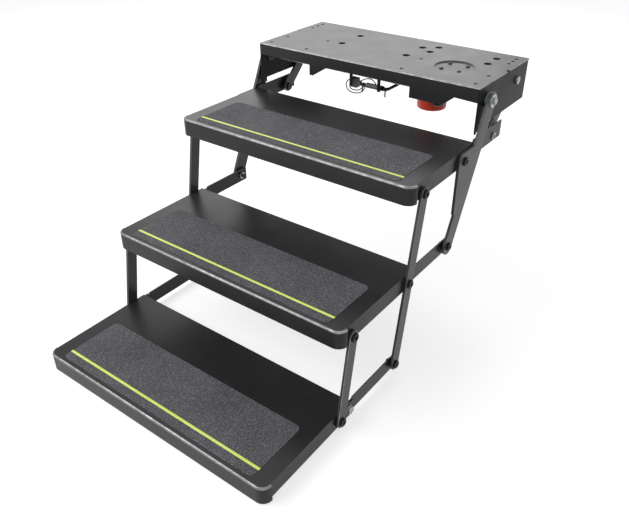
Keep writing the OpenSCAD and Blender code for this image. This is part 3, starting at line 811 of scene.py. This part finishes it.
def thread_tree() -> NodeTree:
    """Builds the tree that puts threads on bolt ends that stand out of their nuts.

    Returns:
        A tree with the inputs Radius, Crest, Pitch and Turns.
    """
    sizes = {"Radius": 0.005, "Crest": 0.00045, "Pitch": 0.0012, "Turns": 4}
    tree, given = start_tree("bolt_threads", sizes)
    radius, turns, pitch = given["Radius"], given["Turns"], given["Pitch"]
    ring = swept(circle(tree, 24, radius), circle(tree, 4, given["Crest"]))
    row = made(tree, "GeometryNodeMeshLine", {"Count": turns, "Offset": along_z(pitch)}, mode="OFFSET")
    stack = copies(row, ring)
    length = calculated("MULTIPLY", turns, pitch)
    core = made(tree, "GeometryNodeMeshCylinder", {"Vertices": 24, "Radius": radius, "Depth": length})
    middle = along_z(calculated("MULTIPLY", length, 0.5))
    joined = add_node(tree, "GeometryNodeJoinGeometry", {"Geometry": moved(core, Translation=middle)})
    feed(joined, {"Geometry": stack})
    laid = moved(joined.outputs[0], Rotation=LAID)
    turn = made(tree, "GeometryNodeInputNamedAttribute", {"Name": "turn"}, data_type="FLOAT")
    turned = made(tree, "FunctionNodeEulerToRotation", {0: along_z(turn)})
    return end_tree(tree, given, copies(given["Start"], laid, Rotation=turned))


def weld_tree() -> NodeTree:
    """Builds the tree that lays a weld bead of overlapping ripples along lines.

    Returns:
        A tree with the inputs Width and Ripple.
    """
    tree, given = start_tree("weld_bead", {"Width": 0.0022, "Ripple": 0.0016})
    curve = made(tree, "GeometryNodeMeshToCurve", {"Mesh": given["Start"]})
    inputs = {"Curve": curve, "Length": given["Ripple"]}
    spots = add_node(tree, "GeometryNodeCurveToPoints", inputs, mode="LENGTH").outputs
    inputs = {"Segments": 10, "Rings": 6, "Radius": given["Width"]}
    drop = made(tree, "GeometryNodeMeshUVSphere", inputs, "Mesh")
    size = random_vector(tree, (0.8, 0.9, 0.55), (1.0, 1.15, 0.7), 5)
    return end_tree(tree, given, copies(spots["Points"], drop, Rotation=spots["Rotation"], Scale=size))


def rib_tree() -> NodeTree:
    """Builds the tree that rings a sleeve with ribs.

    Returns:
        A tree with the inputs Radius and Rib.
    """
    tree, given = start_tree("sleeve_ribs", {"Radius": 0.005, "Rib": 0.0011})
    ring = swept(circle(tree, 32, given["Radius"]), circle(tree, 8, given["Rib"]))
    return end_tree(tree, given, copies(given["Start"], moved(ring, Rotation=LAID)))


def lead_tree() -> NodeTree:
    """Builds the tree that draws round leads along smooth lines.

    Returns:
        A tree with the inputs Radius and Step.
    """
    tree, given = start_tree("round_leads", {"Radius": 0.0011, "Step": 0.002})
    rough = made(tree, "GeometryNodeMeshToCurve", {"Mesh": given["Start"]})
    smooth = made(tree, "GeometryNodeCurveSplineType", {"Curve": rough}, spline_type="CATMULL_ROM")
    inputs = {"Curve": smooth, "Length": given["Step"]}
    even = made(tree, "GeometryNodeResampleCurve", inputs, mode="LENGTH")
    return end_tree(tree, given, swept(even, circle(tree, 10, given["Radius"]), capped=True))


@dataclass
class Assembly:
    """A sub-assembly of the step, which is dressed in a workshop."""

    shop: Workshop


@dataclass
class Tread(Assembly):
    """One tread: a folded pan, its grit pad and strip, stiffener, rails and bolts. Sizes in millimetres."""

    number: int
    front: float
    top: float
    scatter: NodeTree
    fold_radius: float = 3.7
    nose_radius: float = 21
    lip_height: float = 40
    seam_place: float = 287
    seam_half_foot: float = 0.45
    seam_half_ridge: float = 0.2
    seam_rise: float = 0.15
    seam_clearance: float = 1
    pad_width: float = 540
    pad_depth: float = 145
    pad_setback: float = 11
    pad_thick: float = 0.8
    bare_rim: float = 3
    strip_setback: float = 31
    strip_width: float = 6
    strip_gap: float = 1
    strip_side: float = 0.5
    strip_dome: float = 0.6
    dome_steps: int = 8
    grains: float = 30000
    grain_radius: float = 0.42

    def node(self, piece: str) -> str:
        """Gives the CAD name of one of this tread's pieces, such as pan."""
        return f"tread_{self.number}_{piece}"

    def build(self) -> None:
        """Dresses the tread."""
        top = self.top * MM
        nose_end = (self.front + self.nose_radius) * MM + TOUCH

        def nose(edge: BMEdge) -> bool:
            """Says whether an edge lies in the top of the rounded nose."""
            first, second = (v.co for v in edge.verts)
            across = near(first.y, second.y) and first.y > self.front * MM + TOUCH
            return not across and all(near(p.z, top) and p.y < nose_end for p in (first, second))

        self.shop.soften(self.node("pan"), Edge.SHEARED, [(self.fold_radius, nose)])
        self.shop.soften(self.node("rails"), Edge.LASER_CUT)
        self.shop.soften(self.node("stiffener"), Edge.SHEARED)
        self.shop.soften_all((self.node("bolts"), self.node("nuts")), Edge.TURNED)
        self.shop.paint(self.node("grit"))
        self.strip()
        self.grit_grains()
        self.lip_seams()

    def lip_seams(self) -> None:
        """Draws the closed seams where the front lip is bent round the corners, as fine raised lines."""
        work = bmesh.new()
        high, low = self.top - self.fold_radius, self.top - self.lip_height + self.seam_clearance
        foot, ridge = self.seam_half_foot, self.seam_half_ridge
        for side in Side:
            place = side.value * self.seam_place
            crest = self.front - self.seam_rise
            outline = [(place - foot, self.front), (place - ridge, crest)]
            outline += [(place + ridge, crest), (place + foot, self.front)]
            rings = [[work.verts.new((x * MM, y * MM, z * MM)) for x, y in outline] for z in (low, high)]
            skin(work, rings, capped=True)
        self.shop.mesh_piece(self.node("lip_seams"), work, self.node("pan"), "black_steel")

    def strip(self) -> None:
        """Builds the bright strip with a domed top."""
        low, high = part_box(self.node("strip"))
        half_width = (high.y - low.y) / 2
        centre = (high.y + low.y) / 2
        shoulder = low.z + self.strip_side * MM
        outline = [(centre - half_width, low.z), (centre - half_width, shoulder)]
        for i in range(1, self.dome_steps):
            angle = math.pi * (1 - i / self.dome_steps)
            rise = self.strip_dome * MM * math.sin(angle)
            outline.append((centre + half_width * math.cos(angle), shoulder + rise))
        outline += [(centre + half_width, shoulder), (centre + half_width, low.z)]
        work = bmesh.new()
        skin(work, [[work.verts.new((x, y, z)) for y, z in outline] for x in (low.x, high.x)], capped=True)
        node = self.node("strip")
        obj = self.shop.mesh_piece(f"{node}_piece", work, node)
        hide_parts(node)

    def grit_grains(self) -> None:
        """Scatters coarse grains on the pad, on both sides of the strip."""
        right = self.pad_width / 2 - self.bare_rim
        strip_end = self.strip_setback + self.strip_width
        bands = (
            (self.pad_setback + self.bare_rim, self.strip_setback - self.strip_gap),
            (strip_end + self.strip_gap, self.pad_setback + self.pad_depth - self.bare_rim),
        )
        corners = [
            (x, self.front + y, self.top + self.pad_thick)
            for start, end in bands
            for x, y in ((-right, start), (right, start), (right, end), (-right, end))
        ]
        pad_top = start_mesh("pad_top", corners, faces=[(0, 1, 2, 3), (4, 5, 6, 7)])
        sizes = {"Density": self.grains, "Grain Radius": self.grain_radius * MM, "Seed": self.number}
        node = self.node("grit")
        self.shop.grown(f"{node}_grains", pad_top, self.scatter, sizes, node)


@dataclass
class Linkage(Assembly):
    """The arms, links, struts and rear arms, all laser cut from plate."""

    plates: tuple[str, ...] = (
        "arm_right", "arm_left", "link_right", "link_left", "strut_right", "strut_left",
        "rear_arm_right", "rear_arm_left",
    )
    fittings: tuple[str, ...] = ("arm_end_bolts", "shaft_spacers", "drive_lever", "lever_pin")

    def build(self) -> None:
        """Dresses the linkage."""
        self.shop.soften_all(self.plates, Edge.LASER_CUT)
        self.shop.soften_all(self.fittings, Edge.TURNED)
        self.shop.paint("cross_shaft")


@dataclass
class MountFrame(Assembly):
    """The plate under the vehicle's floor with its flanges and side panels. Sizes in millimetres."""

    half_width: float = 298
    front: float = -131
    rear: float = 130
    sheet: float = 3
    fold_radius: float = 2.8
    weld_length: float = 32
    weld_offset: float = 0.4
    turned: tuple[str, ...] = ("hole_rings", "shaft_bushes", "rear_pivot_bolts", "rear_pivot_nuts")
    side_welds: tuple[float, ...] = (-60, 20, 95)
    cross_welds: tuple[float, ...] = (-230, -60, 90, 245)

    def build(self) -> None:
        """Dresses the frame."""
        low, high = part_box("mounting_plate")
        sides = [(axis, end[axis]) for axis in (0, 1) for end in (low, high)]

        def outer(edge: BMEdge) -> bool:
            """Says whether an edge lies on the plate's upper rim."""
            ends = [v.co for v in edge.verts]
            on_side = any(all(near(p[axis], place) for p in ends) for axis, place in sides)
            return on_side and all(near(p.z, high.z) for p in ends)

        self.shop.soften("mounting_plate", Edge.SHEARED, [(self.fold_radius, outer)])
        self.shop.soften_all(("front_flange", "rear_flange"), Edge.SHEARED)
        # The side panels take the duller, darker copy of the coat, which paints their shade.
        self.shop.soften_all(("side_panel_right", "side_panel_left"), Edge.SHEARED, "panel_shade_black")
        self.shop.soften_all(self.turned, Edge.TURNED)
        self.welds()

    def welds(self) -> None:
        """Lays stitch welds where the panels and flanges meet the plate, on the inside."""
        inner = self.half_width - self.sheet - self.weld_offset
        height = -self.sheet - self.weld_offset
        half = self.weld_length / 2
        ends = [
            (side.value * inner, middle + end, height)
            for side in Side
            for middle in self.side_welds
            for end in (-half, half)
        ]
        ends += [
            (middle + end, depth, height)
            for middle in self.cross_welds
            for depth in (self.rear - self.weld_offset, self.front + self.sheet + self.weld_offset)
            for end in (-half, half)
        ]
        lines = [(first, first + 1) for first in range(0, len(ends), 2)]
        start = start_mesh("weld_lines", ends, lines)
        self.shop.grown("frame_welds", start, weld_tree(), {}, "mounting_plate")


@dataclass
class Drive(Assembly):
    """The gear motor with its cap, crank and rod. Sizes in millimetres."""

    turned: tuple[str, ...] = ("drive_motor", "output_crank", "crank_pin", "drive_rod", "stop_buffer")
    motor_x: float = 150
    motor_y: float = -50
    bottom: float = -95
    cap_radius: float = 34
    cap_height: float = 30
    cap_wall: float = 3
    cap_floor: float = 4
    corner_radius: float = 5
    corner_steps: int = 6
    cap_steps: int = 144
    # Radii and heights of the dish in the cap's end, and how far the neck's edges lie under the rim.
    dish: tuple[tuple[float, float], ...] = ((0.0, 1.4), (12.0, 1.4), (16.0, 0.6))
    neck_depth: float = 0.8
    neck_edges: tuple[float, ...] = (4.0, 3.6, 2.0, 1.6)
    rim_edge: float = 0.6

    def build(self) -> None:
        """Dresses the drive."""
        self.shop.soften("gearbox_case", Edge.CAST)
        self.shop.soften_all(self.turned, Edge.TURNED)
        self.shop.soften("gearbox_screws", Edge.TURNED, painted="satin_black")
        self.cap()

    def cap_profile(self) -> list[tuple[float, float]]:
        """Draws the cap's section: its dished end, its round corner, a narrow neck, its rim and its inside.

        Returns:
            Radii and heights over the cap's end, from the middle outwards, up and back inside.
        """
        radius, height, corner = self.cap_radius, self.cap_height, self.corner_radius
        inside, narrow = radius - self.cap_wall, radius - self.neck_depth
        turns = [math.pi / 2 * i / self.corner_steps for i in range(1, self.corner_steps + 1)]
        flat = radius - corner
        end = [*self.dish, (flat, 0.0)]
        wall = [(flat + corner * math.sin(turn), corner - corner * math.cos(turn)) for turn in turns]
        neck = [(r, height - z) for r, z in zip((radius, narrow, narrow, radius), self.neck_edges)]
        rim = [(radius, height - self.rim_edge), (radius - self.rim_edge, height), (inside, height)]
        return end + wall + neck + rim + [(inside, self.cap_floor), (0.0, self.cap_floor)]

    def cap(self) -> None:
        """Turns the motor's cap from its section."""
        work = bmesh.new()
        rings = []
        for radius, height in self.cap_profile():
            places = round_points((self.motor_x, self.motor_y), radius, self.cap_steps)
            rings.append([work.verts.new((x * MM, y * MM, (self.bottom + height) * MM)) for x, y in places])
        skin(work, rings)
        obj = self.shop.mesh_piece("motor_cap_piece", work, "motor_cap")
        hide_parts("motor_cap")


@dataclass
class Wiring(Assembly):
    """The motor's cable with its sleeve, plug, clips, ties and leads. Sizes in millimetres."""

    depth: float = -112
    height: float = -54
    sleeve_start: float = 10
    sleeve_length: float = 36
    rib_pitch: float = 2.4
    cable_radius: float = 3.5
    lead_radius: float = 1.3
    tie_places: tuple[float, ...] = (2, 64)
    tie_width: float = 3.2
    tie_thick: float = 0.9
    tie_steps: int = 20
    tie_tail: float = 17
    tail_thick: float = 1.0
    tail_middle: float = 1.2
    head: Point = (4.8, 3.4, 4.6)
    head_middle: float = 1.0
    leads: tuple[tuple[Point, ...], ...] = (
        (
            (-34, -112, -50), (-42, -112, -52), (-47, -113, -62), (-42, -114, -73), (-28, -115, -78),
            (-10, -115, -76), (2, -114, -68), (6, -113, -60), (8, -112, -57),
        ),
        (
            (-34, -110, -60), (-39, -109, -64), (-38, -109, -70), (-29, -110, -73), (-14, -111, -71),
            (-4, -111, -65), (2, -110, -59), (6, -110, -56),
        ),
        (
            (-10, -109, -50), (-2, -107, -45), (8, -107, -41), (20, -108, -40), (30, -110, -44),
            (34, -111, -49),
        ),
    )

    def build(self) -> None:
        """Dresses the wiring."""
        self.shop.paint("motor_cable")
        self.shop.paint("cable_sleeve")
        self.shop.soften("cable_connector", Edge.MOULDED, painted="grey_plastic")
        self.shop.soften("cable_clips", Edge.SHEARED, painted="black_steel")
        count = int(self.sleeve_length / self.rib_pitch)
        rows = [self.sleeve_start + (i + 0.5) * self.rib_pitch for i in range(count)]
        start = start_mesh("rib_places", [(x, self.depth, self.height) for x in rows])
        self.shop.grown("sleeve_ribs", start, rib_tree(), {}, "cable_sleeve")
        corners, lines = [], []
        for lead in self.leads:
            lines += [(i, i + 1) for i in range(len(corners), len(corners) + len(lead) - 1)]
            corners += lead
        start = start_mesh("lead_lines", corners, lines)
        sizes = {"Radius": self.lead_radius * MM}
        self.shop.grown("plug_leads", start, lead_tree(), sizes, "motor_cable", "black_rubber")
        self.ties()

    def band(self, work: BMesh, place: float) -> None:
        """Builds a tie's band round the cable.

        Args:
            work: the mesh.
            place: its place along X, in millimetres.
        """
        inner, outer, half = self.cable_radius, self.cable_radius + self.tie_thick, self.tie_width / 2
        rings = []
        for x, radius in ((-half, inner), (-half, outer), (half, outer), (half, inner)):
            places = round_points((self.depth, self.height), radius, self.tie_steps)
            rings.append([work.verts.new(((place + x) * MM, y * MM, z * MM)) for y, z in places])
        skin(work, rings + rings[:1])

    def ties(self) -> None:
        """Builds the cable ties: a band round the cable, its head in front and its tail hanging down."""
        work = bmesh.new()
        front = self.depth - self.cable_radius - self.tie_thick
        tail = (self.tie_width, self.tail_thick, self.tie_tail)
        tail_height = self.height - self.tie_tail / 2
        for place in self.tie_places:
            self.band(work, place)
            block(work, self.head, (place, front - self.head_middle, self.height))
            block(work, tail, (place, front - self.tail_middle, tail_height))
        self.shop.mesh_piece("cable_ties", work, "motor_cable", "black_rubber")


@dataclass
class Fasteners(Assembly):
    """The threaded ends of the pivot bolts, which stand out of their nuts. Sizes in millimetres."""

    radius: float = 4.7
    pitch: float = 0.9
    turns: int = 3
    # Where a bolt leaves its nut, from the middle: at the upper end of a link or strut, and elsewhere.
    upper_end: float = 296
    elsewhere: float = 293

    def build(self) -> None:
        """Puts a thread where each bolt leaves its nut, in bays of the linkage that are all alike."""
        rear, link = self.shop.pivot("top_tread_pivot"), self.shop.pivot("right_link_pivot")
        strut, bay = self.shop.pivot("right_strut_pivot"), self.shop.pivot("middle_tread_pivot") - link
        upper, other = self.upper_end, self.elsewhere
        pivots = {
            "tread_1_bolts": ((upper, link), (other, rear)),
            "tread_2_bolts": ((upper, strut), (other, link + bay), (other, rear + bay)),
            "tread_3_bolts": ((other, strut + bay), (other, link + bay * 2)),
        }
        threads = thread_tree()
        sizes = {"Radius": self.radius * MM, "Pitch": self.pitch * MM, "Turns": self.turns}
        for node, ends in pivots.items():
            places = [(side.value * end, *pivot) for side in Side for end, pivot in ends]
            start = start_mesh("thread_places", places)
            turns = [math.pi if place[0] > 0 else 0.0 for place in places]
            start.attributes.new("turn", "FLOAT", "POINT").data.foreach_set("value", turns)
            self.shop.grown(f"{node}_threads", start, threads, sizes, node)


@dataclass
class Studio:
    """A pale floor, soft lamps and the camera at the photograph's angle. Sizes in metres."""

    floor_height: float = -0.552
    floor_radius: float = 14
    floor_steps: int = 96
    floor_colour: str = "#cdcdcd"
    floor_lift: float = 0.67
    air: float = 0.4
    target: Point = (0.11964, -0.464, -0.30391)
    distance: float = 1.40017
    azimuth: float = 36.95
    elevation: float = 32.72
    roll: float = -0.35
    lens_mm: float = 38.23
    sensor_mm: float = 36
    clip: tuple[float, float] = (0.05, 60)

    def look(self, azimuth: float, elevation: float, distance: float) -> tuple[Vector, Quaternion]:
        """Finds a place round the target from which the target is seen.

        Args:
            azimuth: the angle about Z in degrees, 0 being in front.
            elevation: the angle above the level in degrees.
            distance: how far it is from the target.

        Returns:
            The place, and the turn that faces the target from there.
        """
        turn, rise = math.radians(azimuth), math.radians(elevation)
        back = Vector((math.sin(turn) * math.cos(rise), -math.cos(turn) * math.cos(rise), math.sin(rise)))
        return Vector(self.target) + back * distance, (-back).to_track_quat("-Z", "Y")

    def camera(self) -> None:
        """Places the camera."""
        data = bpy.data.cameras.new("photo_camera")
        data.lens = self.lens_mm
        data.sensor_width = self.sensor_mm
        data.clip_start, data.clip_end = self.clip
        camera = stand("photo_camera", data)
        place, turn = self.look(self.azimuth, self.elevation, self.distance)
        roll = Matrix.Rotation(math.radians(self.roll), 4, "Z")
        camera.matrix_world = Matrix.Translation(place) @ turn.to_matrix().to_4x4() @ roll
        bpy.context.scene.camera = camera

    def lamp(self, name: str, place: Point, size: tuple[float, float], power: float) -> None:
        """Adds a soft lamp that faces the object.

        Args:
            name: the lamp's name.
            place: its azimuth and elevation in degrees, and its distance from the object.
            size: its width and height.
            power: its power in watts.
        """
        data = bpy.data.lights.new(name, "AREA")
        data.shape = "RECTANGLE"
        data.size, data.size_y = size
        data.energy = power
        lamp = stand(name, data)
        lamp.rotation_mode = "QUATERNION"
        lamp.location, lamp.rotation_quaternion = self.look(*place)

    def seen_directly(self, tree: NodeTree) -> NodeSocket:
        """Gives one for camera, glossy and transmission rays and nothing for the rest.

        Args:
            tree: the material's or world's tree.

        Returns:
            The socket with that number.
        """
        rays = add_node(tree, "ShaderNodeLightPath").outputs
        first = calculated("MAXIMUM", rays["Is Camera Ray"], rays["Is Glossy Ray"])
        return calculated("MAXIMUM", first, rays["Is Transmission Ray"])

    def world(self) -> None:
        """Surrounds the scene with a plain pale sky that shows white."""
        world = bpy.data.worlds.new("studio_air")
        world.use_nodes = True
        tree = world.node_tree
        tree.nodes.clear()
        inputs = {"Value": self.seen_directly(tree), "To Min": self.air, "To Max": 1.0}
        strength = made(tree, "ShaderNodeMapRange", inputs, "Result")
        sky = made(tree, "ShaderNodeBackground", {"Color": WHITE, "Strength": strength})
        add_node(tree, "ShaderNodeOutputWorld", {"Surface": sky})
        bpy.context.scene.world = world

    def floor(self) -> None:
        """Lays a wide pale floor that keeps the object's shadow."""
        work = bmesh.new()
        bmesh.ops.create_circle(work, cap_ends=True, segments=self.floor_steps, radius=self.floor_radius)
        bmesh.ops.translate(work, verts=work.verts, vec=(0, 0, self.floor_height))
        mesh = bpy.data.meshes.new("studio_floor")
        work.to_mesh(mesh)
        work.free()
        floor = stand("studio_floor", mesh)
        material, shader = start_material("matt_paper")[:2]
        feed(shader, {"Base Color": linear(self.floor_colour), "Roughness": 1.0, "Specular IOR Level": 0.0})
        lift = calculated("MULTIPLY", self.seen_directly(material.node_tree), self.floor_lift)
        feed(shader, {"Emission Color": WHITE, "Emission Strength": lift})
        mesh.materials.append(material)
        floor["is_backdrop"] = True

    def build(self) -> None:
        """Sets up the camera, lamps, air and floor."""
        bpy.context.scene.view_settings.view_transform = "Standard"
        self.camera()
        self.world()
        self.floor()
        self.lamp("back_softbox", (self.azimuth + 180, self.elevation + 4, 3.2), (2.4, 2.4), 25.5)
        self.lamp("front_softbox", (-43, 42, 3.0), (2.4, 1.4), 42)


def main() -> None:
    """Builds the dressed step and its studio."""
    logging.basicConfig(level=logging.INFO, format="%(message)s")
    shop = Workshop(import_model(), {slot: finish.material() for slot, finish in FINISHES.items()})
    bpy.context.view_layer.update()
    Studio().build()
    scatter = grain_tree()
    for number in TREADS:
        low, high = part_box(f"tread_{number}_pan")
        Tread(shop, number, in_mm(low).y, in_mm(high).z, scatter).build()
    shop.soften("tread_3_tail_bolts", Edge.TURNED)
    Linkage(shop).build()
    MountFrame(shop).build()
    Drive(shop).build()
    Wiring(shop).build()
    Fasteners(shop).build()
    low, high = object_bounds()


if __name__ == "__main__":
    main()
